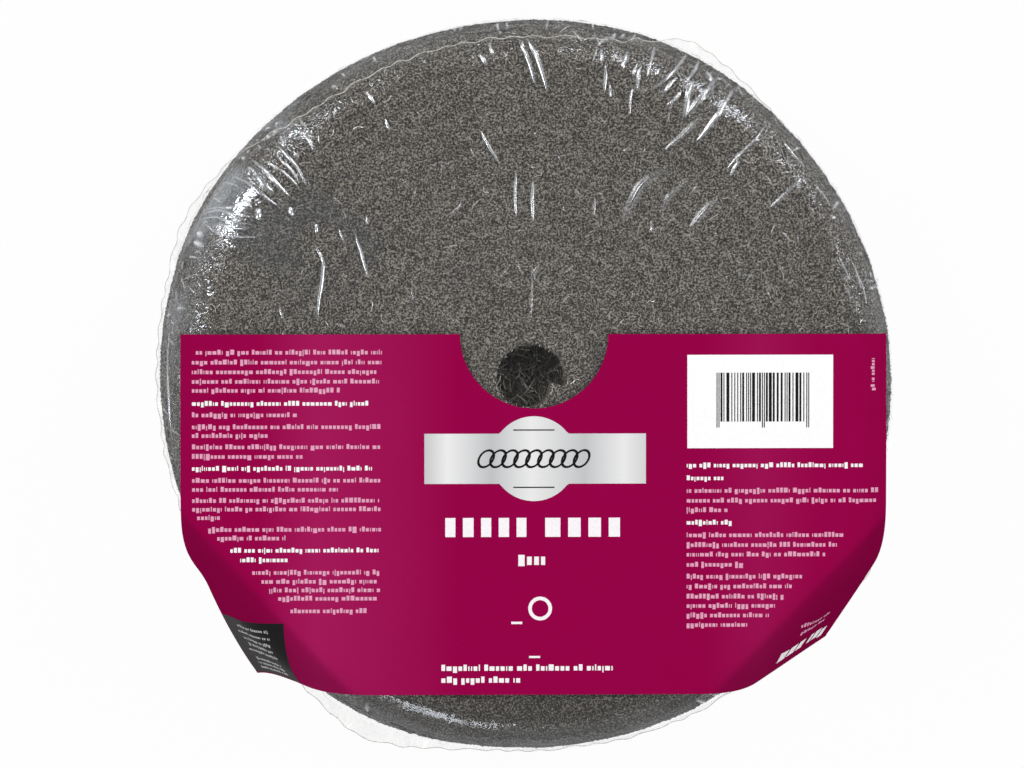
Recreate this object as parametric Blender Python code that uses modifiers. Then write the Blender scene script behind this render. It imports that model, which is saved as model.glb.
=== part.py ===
# A one-kilogram roll of steel wool in clear shrink film, with a paper label on its front face.
# It lies on its back face. Lengths are in metres. +Z points up along the roll's axis, +Y
# points to the label's straight top edge, and the origin is the centre of the face it lies on.

import math

import bmesh
import bpy

# The strip of steel wool, wound into a roll round an open core
STRIP_WIDTH = 0.0976
ROLL_RADIUS = 0.1225
SHOULDER_RADIUS = 0.0135
TURN_PITCH = 0.0065
GROOVE_DEPTH = 0.0010
CORE_RADIUS = 0.0120
CORE_STEP = 0.0050
CORE_SHIFT_X = -0.0003
CORE_SHIFT_Y = 0.0030
TAIL_STEP = 0.0012
STRIP_END_ANGLE = math.radians(-12)

# The shrink film, a square bag drawn tight round the roll, with a vent hole at the back
FILM_GAP = 0.0003
FILM_WALL = 0.0003
VENT_RADIUS = 0.0030

# The bag's weld seam: a thin fin, which climbs from half height to the front shoulder
FIN_WIDTH = 0.0014
FIN_THICKNESS = 0.0006
SEAM_INSET = 0.0092
CLIMB_CENTRE = math.radians(103.5)
CLIMB_HALF_ANGLE = math.radians(48)

# The bag's four corners, each with an ear on the fin and a swell of the film beside it
TOP_RIGHT_CORNER = math.radians(65)
TOP_LEFT_CORNER = math.radians(152)
BOTTOM_LEFT_CORNER = math.radians(246)
BOTTOM_RIGHT_CORNER = math.radians(332)
TOP_RIGHT_EAR = 0.0048
TOP_LEFT_EAR = 0.0022
BOTTOM_LEFT_EAR = 0.0062
BOTTOM_RIGHT_EAR = 0.0098
EAR_HALF_ANGLE = math.radians(9)
TOP_SWELL = 0.0012
BOTTOM_SWELL = 0.0020
TOP_SWELL_HALF_HEIGHT = 0.0400
BOTTOM_SWELL_HALF_HEIGHT = 0.0140
SWELL_HALF_ANGLE = math.radians(22)

# The paper label, measured flat from the roll's axis, with a round notch for the core
LABEL_LEFT = 0.1172
LABEL_RIGHT = 0.1196
LABEL_TOP = 0.0177
LABEL_BOTTOM = 0.1031
LABEL_THICKNESS = 0.0003
LABEL_GAP = 0.0003
NOTCH_RADIUS = 0.0249
NOTCH_X = 0.0010

# The label's lower corners, laid over the rim along a straight chord at 45 degrees
LEFT_FOLD_DIRECTION = math.radians(225)
RIGHT_FOLD_DIRECTION = math.radians(315)
LEFT_FOLD_START = 0.0004
RIGHT_FOLD_START = 0.0018
LEFT_FOLD_SLOPE = math.radians(74)
RIGHT_FOLD_SLOPE = math.radians(73)

# Facets
WOOL_SEGMENTS = 40
FILM_SEGMENTS = 64
NOTCH_SEGMENTS = 16
SHOULDER_STEPS = 6
ROWS_BELOW_SEAM = 3
FOLD_STEPS = 6
DROOP_STEPS = 3

# Worked out from the sizes above. A distance along the roll's section starts at the axis and
# runs over the front face, the front shoulder, the wall, the back shoulder and the back face.
FACE_RADIUS = ROLL_RADIUS - SHOULDER_RADIUS
SHOULDER_ARC = SHOULDER_RADIUS * math.pi / 2
SHOULDER_END = FACE_RADIUS + SHOULDER_ARC
WALL_HEIGHT = STRIP_WIDTH - 2 * SHOULDER_RADIUS
WALL_END = SHOULDER_END + WALL_HEIGHT
MID_WALL = SHOULDER_END + WALL_HEIGHT / 2
SECTION_LENGTH = 2 * MID_WALL
FILM_OUTSIDE = FILM_GAP + FILM_WALL
WOOL_BOTTOM = FILM_OUTSIDE
WOOL_TOP = WOOL_BOTTOM + STRIP_WIDTH
LABEL_LIFT = FILM_OUTSIDE + LABEL_GAP + LABEL_THICKNESS / 2
FOLD_RADIUS = SHOULDER_RADIUS + LABEL_LIFT
TURNS = round((SHOULDER_END - CORE_RADIUS) / TURN_PITCH) + 1
TRUE_PITCH = (SHOULDER_END - CORE_RADIUS) / (TURNS - 1)
SEAM_ON_SHOULDER = FACE_RADIUS + SEAM_INSET

# Corner angle, ear length, swell and the swell's half height
BAG_CORNERS = (
    (TOP_RIGHT_CORNER, TOP_RIGHT_EAR, TOP_SWELL, TOP_SWELL_HALF_HEIGHT),
    (TOP_LEFT_CORNER, TOP_LEFT_EAR, TOP_SWELL, TOP_SWELL_HALF_HEIGHT),
    (BOTTOM_LEFT_CORNER, BOTTOM_LEFT_EAR, BOTTOM_SWELL, BOTTOM_SWELL_HALF_HEIGHT),
    (BOTTOM_RIGHT_CORNER, BOTTOM_RIGHT_EAR, BOTTOM_SWELL, BOTTOM_SWELL_HALF_HEIGHT),
)


def clear_scene():
    for obj in list(bpy.data.objects):
        bpy.data.objects.remove(obj, do_unlink=True)


def make_material(name, colour, roughness, metallic, alpha=1.0):
    material = bpy.data.materials.new(name)
    material.use_nodes = True
    shader = material.node_tree.nodes["Principled BSDF"]
    shader.inputs["Base Color"].default_value = (*colour, 1.0)
    shader.inputs["Roughness"].default_value = roughness
    shader.inputs["Metallic"].default_value = metallic
    shader.inputs["Alpha"].default_value = alpha
    material.diffuse_color = (*colour, alpha)
    return material


def add_object(name, bm, material, collection):
    mesh = bpy.data.meshes.new(name)
    bm.to_mesh(mesh)
    bm.free()
    mesh.materials.append(material)
    mesh.shade_smooth()
    mesh.set_sharp_from_angle(angle=math.radians(35))
    obj = bpy.data.objects.new(name, mesh)
    collection.objects.link(obj)
    return obj


def bell(distance, half_width):
    return math.exp(-((distance / half_width) ** 2))


def angle_between(first, second):
    return (first - second + math.pi) % (2 * math.pi) - math.pi


def section_point(distance):
    # Radius, height and outward normal of the roll's section, before any swell
    if distance > MID_WALL:
        radius, height, out, up = section_point(SECTION_LENGTH - distance)
        return radius, WOOL_BOTTOM + WOOL_TOP - height, out, -up
    if distance <= FACE_RADIUS:
        return distance, WOOL_TOP, 0.0, 1.0
    if distance <= SHOULDER_END:
        turned = (distance - FACE_RADIUS) / SHOULDER_RADIUS
        out, up = math.sin(turned), math.cos(turned)
        return FACE_RADIUS + SHOULDER_RADIUS * out, WOOL_TOP - SHOULDER_RADIUS * (1 - up), out, up
    return ROLL_RADIUS, WOOL_TOP - SHOULDER_RADIUS - (distance - SHOULDER_END), 1.0, 0.0


def round_point(distance, angle, offset, swell=0.0):
    # A point that stands off the section by offset, and further out from the axis by swell
    radius, height, out, up = section_point(distance)
    reach = radius + offset * out + swell
    return reach * math.cos(angle), reach * math.sin(angle), height + offset * up


def turn_distance(turn):
    # Distance along the section of a turn's inner side. The strip's own end stands into the
    # core, and the first turn comes out to the core's radius.
    if turn < 1:
        return CORE_RADIUS - CORE_STEP * (1 - turn) ** 3
    return min(CORE_RADIUS + TRUE_PITCH * (turn - 1), SHOULDER_END)


def wool_point(line, column, is_front):
    # Even lines are grooves and odd lines are crests, half a turn of the strip further out
    angle = STRIP_END_ANGLE - 2 * math.pi * column / WOOL_SEGMENTS
    turn = line / 2 + column / WOOL_SEGMENTS
    distance = turn_distance(turn)
    to_tail = TURNS + 1 - turn
    thinning = TAIL_STEP * (to_tail if to_tail < 1 else max(0.0, 1 - (to_tail - 1) / 3))
    groove = GROOVE_DEPTH * min(1.0, max(0.0, (to_tail - 1) / 2)) if line % 2 == 0 else 0.0
    if not is_front:
        distance = SECTION_LENGTH - distance
    x, y, z = round_point(distance, angle, -groove - thinning)
    near_core = max(0.0, 1 - math.hypot(x, y) / FACE_RADIUS) ** 2
    return x + CORE_SHIFT_X * near_core, y + CORE_SHIFT_Y * near_core, z


def build_wool(collection):
    # Each end face is one spiral of lines, by turns the groove between two turns of the strip
    # and the crest of a turn. After a full turn a line runs on as the line two places out, so
    # the spiral's two ends leave the steps in the core and on the rim.
    bm = bmesh.new()
    rim_line = 2 * TURNS
    inner_keys = [(0, column) for column in range(WOOL_SEGMENTS)] + [(2, 0), (1, 0)]
    outer_keys = [(rim_line, column) for column in range(WOOL_SEGMENTS)]
    outer_keys += [(rim_line + 2, 0), (rim_line + 1, 0)]
    keys = [(line, column) for line in range(rim_line + 1) for column in range(WOOL_SEGMENTS)]
    keys += outer_keys[-2:]

    sides = []
    for is_front in (True, False):
        verts = {key: bm.verts.new(wool_point(*key, is_front)) for key in keys}
        sides.append(verts)
        for line in range(rim_line):
            for column in range(WOOL_SEGMENTS):
                inner_end, outer_end = (line, column + 1), (line + 1, column + 1)
                if column + 1 == WOOL_SEGMENTS:
                    inner_end, outer_end = (line + 2, 0), (line + 3, 0)
                corners = ((line, column), inner_end, outer_end, (line + 1, column))
                bm.faces.new([verts[key] for key in corners])

    front, back = sides
    for loop in (inner_keys, outer_keys):
        for here, there in zip(loop, loop[1:] + loop[:1]):
            bm.faces.new((front[here], front[there], back[there], back[here]))
    bmesh.ops.recalc_face_normals(bm, faces=bm.faces)
    material = make_material("wool", (0.125, 0.118, 0.108), 0.5, 0.8)
    return add_object("wool_roll", bm, material, collection)


def seam_distance(angle):
    # Distance along the section of the weld seam
    climb = math.exp(-((angle_between(angle, CLIMB_CENTRE) / CLIMB_HALF_ANGLE) ** 6))
    return MID_WALL - climb * (MID_WALL - SEAM_ON_SHOULDER)


def film_point(distance, angle, offset):
    swell = sum(
        height
        * bell(angle_between(angle, corner), SWELL_HALF_ANGLE)
        * bell(distance - MID_WALL, half_height)
        for corner, ear, height, half_height in BAG_CORNERS
    )
    return round_point(distance, angle, FILM_GAP + offset, swell)


def film_column(angle):
    # One meridian of the film: out over the front and down to the vent hole, then back on the
    # inside of the film. The fin stands on the outside only.
    seam = seam_distance(angle)
    fin = FIN_WIDTH + sum(
        ear * bell(angle_between(angle, corner), EAR_HALF_ANGLE)
        for corner, ear, swell, half_height in BAG_CORNERS
    )
    step = SHOULDER_ARC / SHOULDER_STEPS
    tight_step = min(step, (seam - FACE_RADIUS) / (SHOULDER_STEPS + 1))
    above = [FACE_RADIUS + tight_step * row for row in range(SHOULDER_STEPS + 1)]
    below = [seam + step * row for row in range(1, ROWS_BELOW_SEAM + 1)]
    below += [WALL_END + step * row for row in range(SHOULDER_STEPS + 1)]
    below.append(SECTION_LENGTH - VENT_RADIUS)

    outside = [film_point(distance, angle, FILM_WALL) for distance in above]
    outside.append(film_point(seam - FIN_THICKNESS / 2, angle, FILM_WALL))
    outside.append(film_point(seam - FIN_THICKNESS / 4, angle, FILM_WALL + fin))
    outside.append(film_point(seam + FIN_THICKNESS / 4, angle, FILM_WALL + fin))
    outside.append(film_point(seam + FIN_THICKNESS / 2, angle, FILM_WALL))
    outside += [film_point(distance, angle, FILM_WALL) for distance in below]
    inside = [film_point(distance, angle, 0.0) for distance in above + [seam] + below]
    return outside + inside[::-1]


def build_film(collection):
    # A loft of meridians, because the seam's height and width differ from one to the next
    bm = bmesh.new()
    outer_pole = bm.verts.new((0.0, 0.0, WOOL_TOP + FILM_OUTSIDE))
    inner_pole = bm.verts.new((0.0, 0.0, WOOL_TOP + FILM_GAP))
    columns = []
    for segment in range(FILM_SEGMENTS):
        angle = 2 * math.pi * segment / FILM_SEGMENTS
        columns.append([bm.verts.new(point) for point in film_column(angle)])
    for here, there in zip(columns, columns[1:] + columns[:1]):
        bm.faces.new((outer_pole, here[0], there[0]))
        for row in range(len(here) - 1):
            bm.faces.new((here[row], here[row + 1], there[row + 1], there[row]))
        bm.faces.new((inner_pole, there[-1], here[-1]))
    bmesh.ops.recalc_face_normals(bm, faces=bm.faces)
    material = make_material("film", (0.85, 0.87, 0.9), 0.12, 0.0, alpha=0.25)
    return add_object("shrink_film", bm, material, collection)


def folded_corner(x, y, direction, start, slope):
    # Lays what is past the chord over the rim: first round the shoulder, then straight on
    out = x * math.cos(direction) + y * math.sin(direction)
    past = max(0.0, out - start)
    turned = min(past / FOLD_RADIUS, slope)
    straight = past - turned * FOLD_RADIUS
    shift = FOLD_RADIUS * math.sin(turned) + straight * math.cos(turned) - past
    drop = FOLD_RADIUS * (1 - math.cos(turned)) + straight * math.sin(turned)
    return x + shift * math.cos(direction), y + shift * math.sin(direction), drop


def label_outline():
    corners = [(NOTCH_X - NOTCH_RADIUS, LABEL_TOP), (-LABEL_LEFT, LABEL_TOP)]
    corners += [(-LABEL_LEFT, -LABEL_BOTTOM), (LABEL_RIGHT, -LABEL_BOTTOM), (LABEL_RIGHT, LABEL_TOP)]
    for step in range(NOTCH_SEGMENTS):
        angle = -math.pi * step / NOTCH_SEGMENTS
        corners.append(
            (NOTCH_X + NOTCH_RADIUS * math.cos(angle), LABEL_TOP + NOTCH_RADIUS * math.sin(angle))
        )
    return corners


def build_label(collection):
    # A flat sheet, cut along its bend lines, bent over the rim and given its thickness
    folds = (
        (LEFT_FOLD_DIRECTION, FACE_RADIUS + LEFT_FOLD_START, LEFT_FOLD_SLOPE),
        (RIGHT_FOLD_DIRECTION, FACE_RADIUS + RIGHT_FOLD_START, RIGHT_FOLD_SLOPE),
    )
    bm = bmesh.new()
    bm.faces.new([bm.verts.new((x, y, 0.0)) for x, y in label_outline()])
    cuts = []
    for direction, start, slope in folds:
        for step in range(FOLD_STEPS + 1):
            cuts.append((direction, start + FOLD_RADIUS * slope * step / FOLD_STEPS))
    for direction, edge in ((0.0, LABEL_RIGHT), (math.pi, LABEL_LEFT)):
        for step in range(DROOP_STEPS):
            cuts.append((direction, FACE_RADIUS + (edge - FACE_RADIUS) * step / DROOP_STEPS))
    for direction, distance in cuts:
        normal = (math.cos(direction), math.sin(direction), 0.0)
        bmesh.ops.bisect_plane(
            bm,
            geom=bm.verts[:] + bm.edges[:] + bm.faces[:],
            plane_co=(distance * normal[0], distance * normal[1], 0.0),
            plane_no=normal,
        )
    bmesh.ops.triangulate(bm, faces=bm.faces)
    for vert in bm.verts:
        x, y, z = vert.co
        for direction, start, slope in folds:
            x, y, drop = folded_corner(x, y, direction, start, slope)
            z -= drop
        z -= max(0.0, abs(x) - FACE_RADIUS) ** 2 / (2 * FOLD_RADIUS)
        vert.co = (x, y, WOOL_TOP + LABEL_LIFT + z)
    bmesh.ops.recalc_face_normals(bm, faces=bm.faces)
    material = make_material("label", (0.319, 0.002, 0.067), 0.5, 0.0)
    label = add_object("label", bm, material, collection)
    solidify = label.modifiers.new("thickness", "SOLIDIFY")
    solidify.thickness = LABEL_THICKNESS
    solidify.offset = 0.0
    return label


def main():
    clear_scene()
    collection = bpy.data.collections.new("steel_wool_roll")
    bpy.context.scene.collection.children.link(collection)
    build_wool(collection)
    build_film(collection)
    build_label(collection)


main()
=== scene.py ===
import math

import bmesh
import bpy
import numpy as np
from mathutils import Matrix, Vector


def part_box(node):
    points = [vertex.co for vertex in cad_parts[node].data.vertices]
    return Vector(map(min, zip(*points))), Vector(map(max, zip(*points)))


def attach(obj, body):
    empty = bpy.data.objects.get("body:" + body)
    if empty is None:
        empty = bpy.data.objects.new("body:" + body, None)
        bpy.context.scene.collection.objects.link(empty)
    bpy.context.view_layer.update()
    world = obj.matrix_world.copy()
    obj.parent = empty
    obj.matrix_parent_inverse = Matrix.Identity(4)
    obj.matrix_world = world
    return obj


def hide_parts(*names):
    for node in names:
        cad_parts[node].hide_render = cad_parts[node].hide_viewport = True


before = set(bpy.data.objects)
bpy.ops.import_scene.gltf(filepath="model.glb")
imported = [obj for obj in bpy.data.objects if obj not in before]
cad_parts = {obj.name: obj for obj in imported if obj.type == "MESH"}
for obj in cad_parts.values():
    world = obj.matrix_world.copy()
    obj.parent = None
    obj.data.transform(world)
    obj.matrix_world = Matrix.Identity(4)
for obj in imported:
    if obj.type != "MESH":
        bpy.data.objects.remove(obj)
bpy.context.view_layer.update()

woolLow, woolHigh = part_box("wool_roll")

# The roll's own form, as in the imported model
roll = {
    "top": woolHigh.z,
    "bottom": woolLow.z,
    "radius": 0.1225,
    "shoulder": 0.0135,  # rounding of the rim's edges
    "coreRadius": 0.0120,
    "coreStep": 0.0050,  # how far the strip's inner end stands into the core
    "coreShift": (-0.0003, 0.0030),
    "turns": 19,
    "stripEnd": math.radians(-12),
    "groove": 0.0004,
    "tailStep": 0.0008,
    "lumps": 0.0002,
    "followsFilm": 0.9,  # share of the film's swell that the wool fills
}
faceRadius = roll["radius"] - roll["shoulder"]
shoulderEnd = faceRadius + roll["shoulder"] * math.pi / 2
wallMiddle = shoulderEnd + (roll["top"] - roll["bottom"]) / 2 - roll["shoulder"]
sectionLength = 2 * wallMiddle
pitch = (shoulderEnd - roll["coreRadius"]) / (roll["turns"] - 1)
roundTurn = 2 * math.pi


# Shapes that several pieces share

def fromMiddle(distance):
    # distance along the section from the middle of whichever face is nearer
    return np.minimum(distance, sectionLength - distance)


def section(distance):
    # radius, height and outward normal at a distance along the section, which runs from the
    # middle of the front over the rim to the middle of the back
    near = fromMiddle(distance)
    turned = np.clip((near - faceRadius) / roll["shoulder"], 0, math.pi / 2)
    radius = np.minimum(near, faceRadius) + roll["shoulder"] * np.sin(turned)
    drop = roll["shoulder"] * (1 - np.cos(turned)) + np.maximum(near - shoulderEnd, 0)
    side = np.where(distance > wallMiddle, -1.0, 1.0)
    halfHeight = (roll["top"] - roll["bottom"]) / 2
    height = roll["bottom"] + halfHeight + side * (halfHeight - drop)
    return radius, height, np.sin(turned), side * np.cos(turned)


def rollPoint(distance, angle, offset, swell=0.0):
    radius, height, out, up = section(distance)
    reach = radius + offset * out + swell
    return np.stack([reach * np.cos(angle), reach * np.sin(angle), height + offset * up], -1)


def rollNormal(distance, angle):
    radius, height, out, up = section(distance)
    return np.stack([out * np.cos(angle), out * np.sin(angle), up + 0 * radius], -1)


def sweptShare(angle):
    # share of a turn wound since the strip's end; the strip is wound clockwise
    return ((roll["stripEnd"] - angle) / roundTurn) % 1.0


def coreEdge(angle):
    return roll["coreRadius"] - roll["coreStep"] * (1 - sweptShare(angle)) ** 3


def smoothStep(value, start, stop):
    share = np.clip((value - start) / (stop - start), 0, 1)
    return share * share * (3 - 2 * share)


def rolling(seed, wavelengths, count=5):
    # smooth unevenness of about -1 to 1, from a few sine waves in seeded directions
    rng = np.random.default_rng(seed)
    waves = []
    for wavelength in wavelengths:
        for _ in range(count):
            direction = rng.normal(size=3)
            direction *= roundTurn / wavelength / np.linalg.norm(direction)
            waves.append((direction, rng.uniform(0, roundTurn)))
    scale = math.sqrt(2 / len(waves)) / 1.6

    def height(points):
        total = np.zeros(points.shape[:-1])
        for direction, start in waves:
            total += np.sin(points @ direction + start)
        return total * scale

    return height


def grooveDepth(distance, angle):
    # 1 in the groove between two turns, 0 on a turn's crest
    near = fromMiddle(distance)
    phase = (near - roll["coreRadius"]) / pitch - sweptShare(angle)
    fade = smoothStep(shoulderEnd - near, 0, 2 * pitch)
    return (0.5 + 0.5 * np.cos(roundTurn * phase)) ** 2 * fade


woolLumps = rolling(11, (0.011, 0.017, 0.031))


def woolPoint(distance, angle, lift):
    near = fromMiddle(distance)
    swept = sweptShare(angle)
    toTail = (shoulderEnd - near) / pitch
    rimShare = smoothStep(near, shoulderEnd - 0.003, shoulderEnd)
    thinning = rimShare * (1 - swept) + (1 - rimShare) * np.clip(1 - toTail / 3, 0, 1)
    base = rollPoint(distance, angle, 0.0)
    sunk = roll["groove"] * grooveDepth(distance, angle) + roll["tailStep"] * thinning
    lumps = roll["lumps"] * woolLumps(base) - roll["lumps"]
    swell = roll["followsFilm"] * filmSwell(distance, angle)
    point = rollPoint(distance, angle, lift + lumps - sunk, swell)
    nearCore = np.maximum(0, 1 - np.hypot(point[..., 0], point[..., 1]) / faceRadius) ** 2
    point[..., 0] += roll["coreShift"][0] * nearCore
    point[..., 1] += roll["coreShift"][1] * nearCore
    return point


def gridFaces(rows, columns, closed):
    # quads of a grid of points, closed round its columns if asked
    across = columns if closed else columns - 1
    here = np.arange(rows - 1)[:, None] * columns + np.arange(across)[None, :]
    beside = np.arange(rows - 1)[:, None] * columns + (np.arange(across) + 1)[None, :] % columns
    quads = np.stack([here, here + columns, beside + columns, beside], -1)
    return quads.reshape(-1, 4)


def addPiece(name, points, faces, finish):
    mesh = bpy.data.meshes.new(name)
    faces = faces if isinstance(faces, list) else faces.tolist()
    mesh.from_pydata(np.asarray(points).reshape(-1, 3).tolist(), [], faces)
    mesh.materials.append(finish)
    mesh.shade_smooth()
    piece = bpy.data.objects.new(name, mesh)
    bpy.context.scene.collection.objects.link(piece)
    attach(piece, "root")
    return piece


def joined(grids):
    # points and faces of many grids as one
    points, faces, first = [], [], 0
    for gridPoints, quads in grids:
        points.append(gridPoints)
        faces.append(quads + first)
        first += len(gridPoints)
    return np.concatenate(points), np.concatenate(faces)


def addValues(piece, name, values):
    layer = piece.data.attributes.new(name, "FLOAT", "POINT")
    layer.data.foreach_set("value", np.asarray(values, np.float32).ravel())


def addMap(piece, name, places):
    # a UV map from each point's own place on it
    layer = piece.data.uv_layers.new(name=name)
    corners = np.empty(len(piece.data.loops), np.int32)
    piece.data.loops.foreach_get("vertex_index", corners)
    layer.data.foreach_set("uv", np.asarray(places, np.float32).reshape(-1, 2)[corners].ravel())


# Finishes

class Wire:
    # an output of a node, with the sums that a material needs
    def __init__(self, nodes, socket):
        self.nodes = nodes
        self.socket = socket

    def sum(self, operation, first, second):
        return self.nodes.add("Math", {"operation": operation}, {0: first, 1: second})

    def __add__(self, other):
        return self.sum("ADD", self, other)

    def __radd__(self, other):
        return self.sum("ADD", other, self)

    def __sub__(self, other):
        return self.sum("SUBTRACT", self, other)

    def __rsub__(self, other):
        return self.sum("SUBTRACT", other, self)

    def __mul__(self, other):
        return self.sum("MULTIPLY", self, other)

    def __rmul__(self, other):
        return self.sum("MULTIPLY", other, self)

    def __truediv__(self, other):
        return self.sum("DIVIDE", self, other)

    def __pow__(self, other):
        return self.sum("POWER", self, other)

    def __abs__(self):
        return self.sum("ABSOLUTE", self, 0.0)


class Nodes:
    # the node tree of a material or of the sky
    def __init__(self, tree):
        self.tree = tree

    def plug(self, socket, value):
        if isinstance(value, Wire):
            self.tree.links.new(value.socket, socket)
        else:
            socket.default_value = value

    def add(self, kind, settings=None, sockets=None, output=0):
        node = self.tree.nodes.new("ShaderNode" + kind)
        for name, value in (settings or {}).items():
            if name == "stops":
                self.setStops(node.color_ramp, value)
            else:
                setattr(node, name, value)
        for name, value in (sockets or {}).items():
            self.plug(node.inputs[name], value)
        return Wire(self, node.outputs[output])

    def setStops(self, ramp, stops):
        while len(ramp.elements) < len(stops):
            ramp.elements.new(0.5)
        for element, (place, colour) in zip(ramp.elements, stops):
            element.position = place
            element.color = (*colour, 1.0)

    def between(self, value, start, stop):
        # 0 below start and 1 above stop, with smooth ends
        return self.add(
            "MapRange",
            {"interpolation_type": "SMOOTHSTEP"},
            {"Value": value, "From Min": start, "From Max": stop},
        )

    def mix(self, share, first, second):
        sockets = {0: share, 6: first, 7: second}
        return self.add("Mix", {"data_type": "RGBA"}, sockets, 2)

    def place(self):
        return self.add("TexCoord", output="Object")

    def noise(self, where, scale, detail=2.0, distortion=0.0):
        sockets = {"Vector": where, "Scale": scale, "Detail": detail, "Distortion": distortion}
        return self.add("TexNoise", None, sockets)

    def attribute(self, name):
        return self.add("Attribute", {"attribute_name": name}, output="Fac")


class Finish(Nodes):
    # a material and its Principled shader
    def __init__(self, name, **constants):
        self.material = bpy.data.materials.new(name)
        self.material.use_nodes = True
        super().__init__(self.material.node_tree)
        self.shader = self.tree.nodes["Principled BSDF"]
        for socket, value in constants.items():
            self.drive(socket, value)

    def drive(self, socket, value):
        # socket names are given without their spaces
        names = {known.name.replace(" ", ""): known for known in self.shader.inputs}
        self.plug(names[socket], value)

    def bump(self, height, strength, distance):
        sockets = {"Strength": strength, "Distance": distance, "Height": height}
        self.drive("Normal", self.add("Bump", None, sockets))


def rgb(red, green, blue):
    # a colour as seen on a screen, 0 to 255, to the linear values that shaders take
    shares = [value / 255 for value in (red, green, blue)]
    linear = [s / 12.92 if s <= 0.04045 else ((s + 0.055) / 1.055) ** 2.4 for s in shares]
    return (*linear, 1.0)


def greys(stops):
    return [(place, (grey, grey, grey)) for place, grey in stops]


# The wound body of steel wool

woolBody = {
    "columns": 300,
    "rowsPerTurn": 6,
    "wallRows": 34,
    "coreRows": 14,
    "wallStart": (0.116, 0.128),  # along the section, where the strip's own face begins
    # the next three carry painted shade in the grooves and on the wall, and painted light on the
    # core's wall
    "grooveDepth": 0.4,
    "wallDepth": 0.7,
    "coreDepth": -3.0,
    "lowStart": (0.098, 0.108),  # down the front, where its shaded bottom begins
    "frontHeight": (0.04, 0.08),
    "deep": rgb(30, 27, 23),
    "crest": rgb(172, 166, 157),
    # scale, detail and distortion of the noises
    "speckle": (1750, 1, 0.6),
    "tangle": (640, 3, 2.0),
    "patches": (60, 3, 0.6),
    "streaks": (130, 3, 0.8),
    "streakStretch": (1.0, 1.0, 5.0),
    "lowShade": 0.5,
    "relief": 0.0005,
}


def woolBodyFinish():
    finish = Finish("wound_wool", Metallic=0.2)
    where = finish.place()
    speckle = finish.between(finish.noise(where, *woolBody["speckle"]), 0.46, 0.62)
    # thin curls lie where the coarser noise passes its middle
    tangle = finish.noise(where, *woolBody["tangle"])
    curls = 1 - finish.between(abs(tangle - 0.52), 0.0, 0.05)
    patches = finish.noise(where, *woolBody["patches"])
    depth = finish.attribute("depth")
    # painted shade: the depth value darkens the grooves between turns and the wall, and in the
    # core, where it is below zero, it paints the wall lighter
    share = (0.02 + speckle * 0.85 + curls * 0.4) * (1 - depth * 0.5)
    # on the wall, where the strip's own face shows, the strands lie in long streaks
    onWall = finish.between(depth, 0.45, 0.65)
    sockets = {0: where, 1: woolBody["streakStretch"]}
    stretched = finish.add("VectorMath", {"operation": "MULTIPLY"}, sockets)
    streaks = finish.between(finish.noise(stretched, *woolBody["streaks"]), 0.36, 0.64)
    share = share * (0.8 + patches * 0.4) * (1 + onWall * (streaks * 1.5 - 0.65))
    share = share * (1 - finish.attribute("low") * woolBody["lowShade"])
    finish.drive("BaseColor", finish.mix(share, woolBody["deep"], woolBody["crest"]))
    finish.drive("Roughness", 0.7 - speckle * 0.2)
    finish.bump(speckle * 0.6 + curls * 0.5, 0.8, woolBody["relief"])
    return finish.material


def buildWoolBody():
    columns = woolBody["columns"]
    angle = np.arange(columns) / columns * roundTurn
    edge = coreEdge(angle)
    frontRows = woolBody["rowsPerTurn"] * roll["turns"]
    wallRows = woolBody["wallRows"]
    share = np.linspace(0, 1, frontRows)
    front = edge + (shoulderEnd - edge) * share[:, None]
    wall = shoulderEnd + 2 * (wallMiddle - shoulderEnd) * np.linspace(0, 1, wallRows + 2)[1:-1]
    wall = np.repeat(wall[:, None], columns, 1)
    back = sectionLength - front[::-1]
    distance = np.concatenate([front, wall, back])
    around = np.repeat(angle[None, :], len(distance), 0)
    shell = woolPoint(distance, around, 0.0)
    onWall = smoothStep(fromMiddle(distance), *woolBody["wallStart"])
    # depth carries painted shade in the grooves and on the wall, and painted light in the core
    depth = grooveDepth(distance, around) * woolBody["grooveDepth"]
    depth = depth + onWall * woolBody["wallDepth"]
    low = smoothStep(-shell[..., 1], *woolBody["lowStart"])
    low = low * smoothStep(shell[..., 2], *woolBody["frontHeight"])
    # the core's wall runs from the back edge up to the front edge
    down = np.linspace(0, 1, woolBody["coreRows"] + 2)[1:-1, None, None]
    core = shell[-1] + (shell[0] - shell[-1]) * down
    points = np.concatenate([shell, core])
    depth = np.concatenate([depth, np.full(core.shape[:2], woolBody["coreDepth"])])
    low = np.concatenate([low, np.zeros(core.shape[:2])])
    rows = len(points)
    faces = gridFaces(rows, columns, True)
    last = (rows - 1) * columns + np.arange(columns)
    first = np.arange(columns)
    closing = np.stack([last, first, np.roll(first, -1), np.roll(last, -1)], -1)
    faces = np.concatenate([faces, closing])
    piece = addPiece("wool_body", points, faces, woolBodyFinish())
    addValues(piece, "depth", depth)
    addValues(piece, "low", low)
    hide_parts("wool_roll")


# The loose fibres on it

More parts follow.
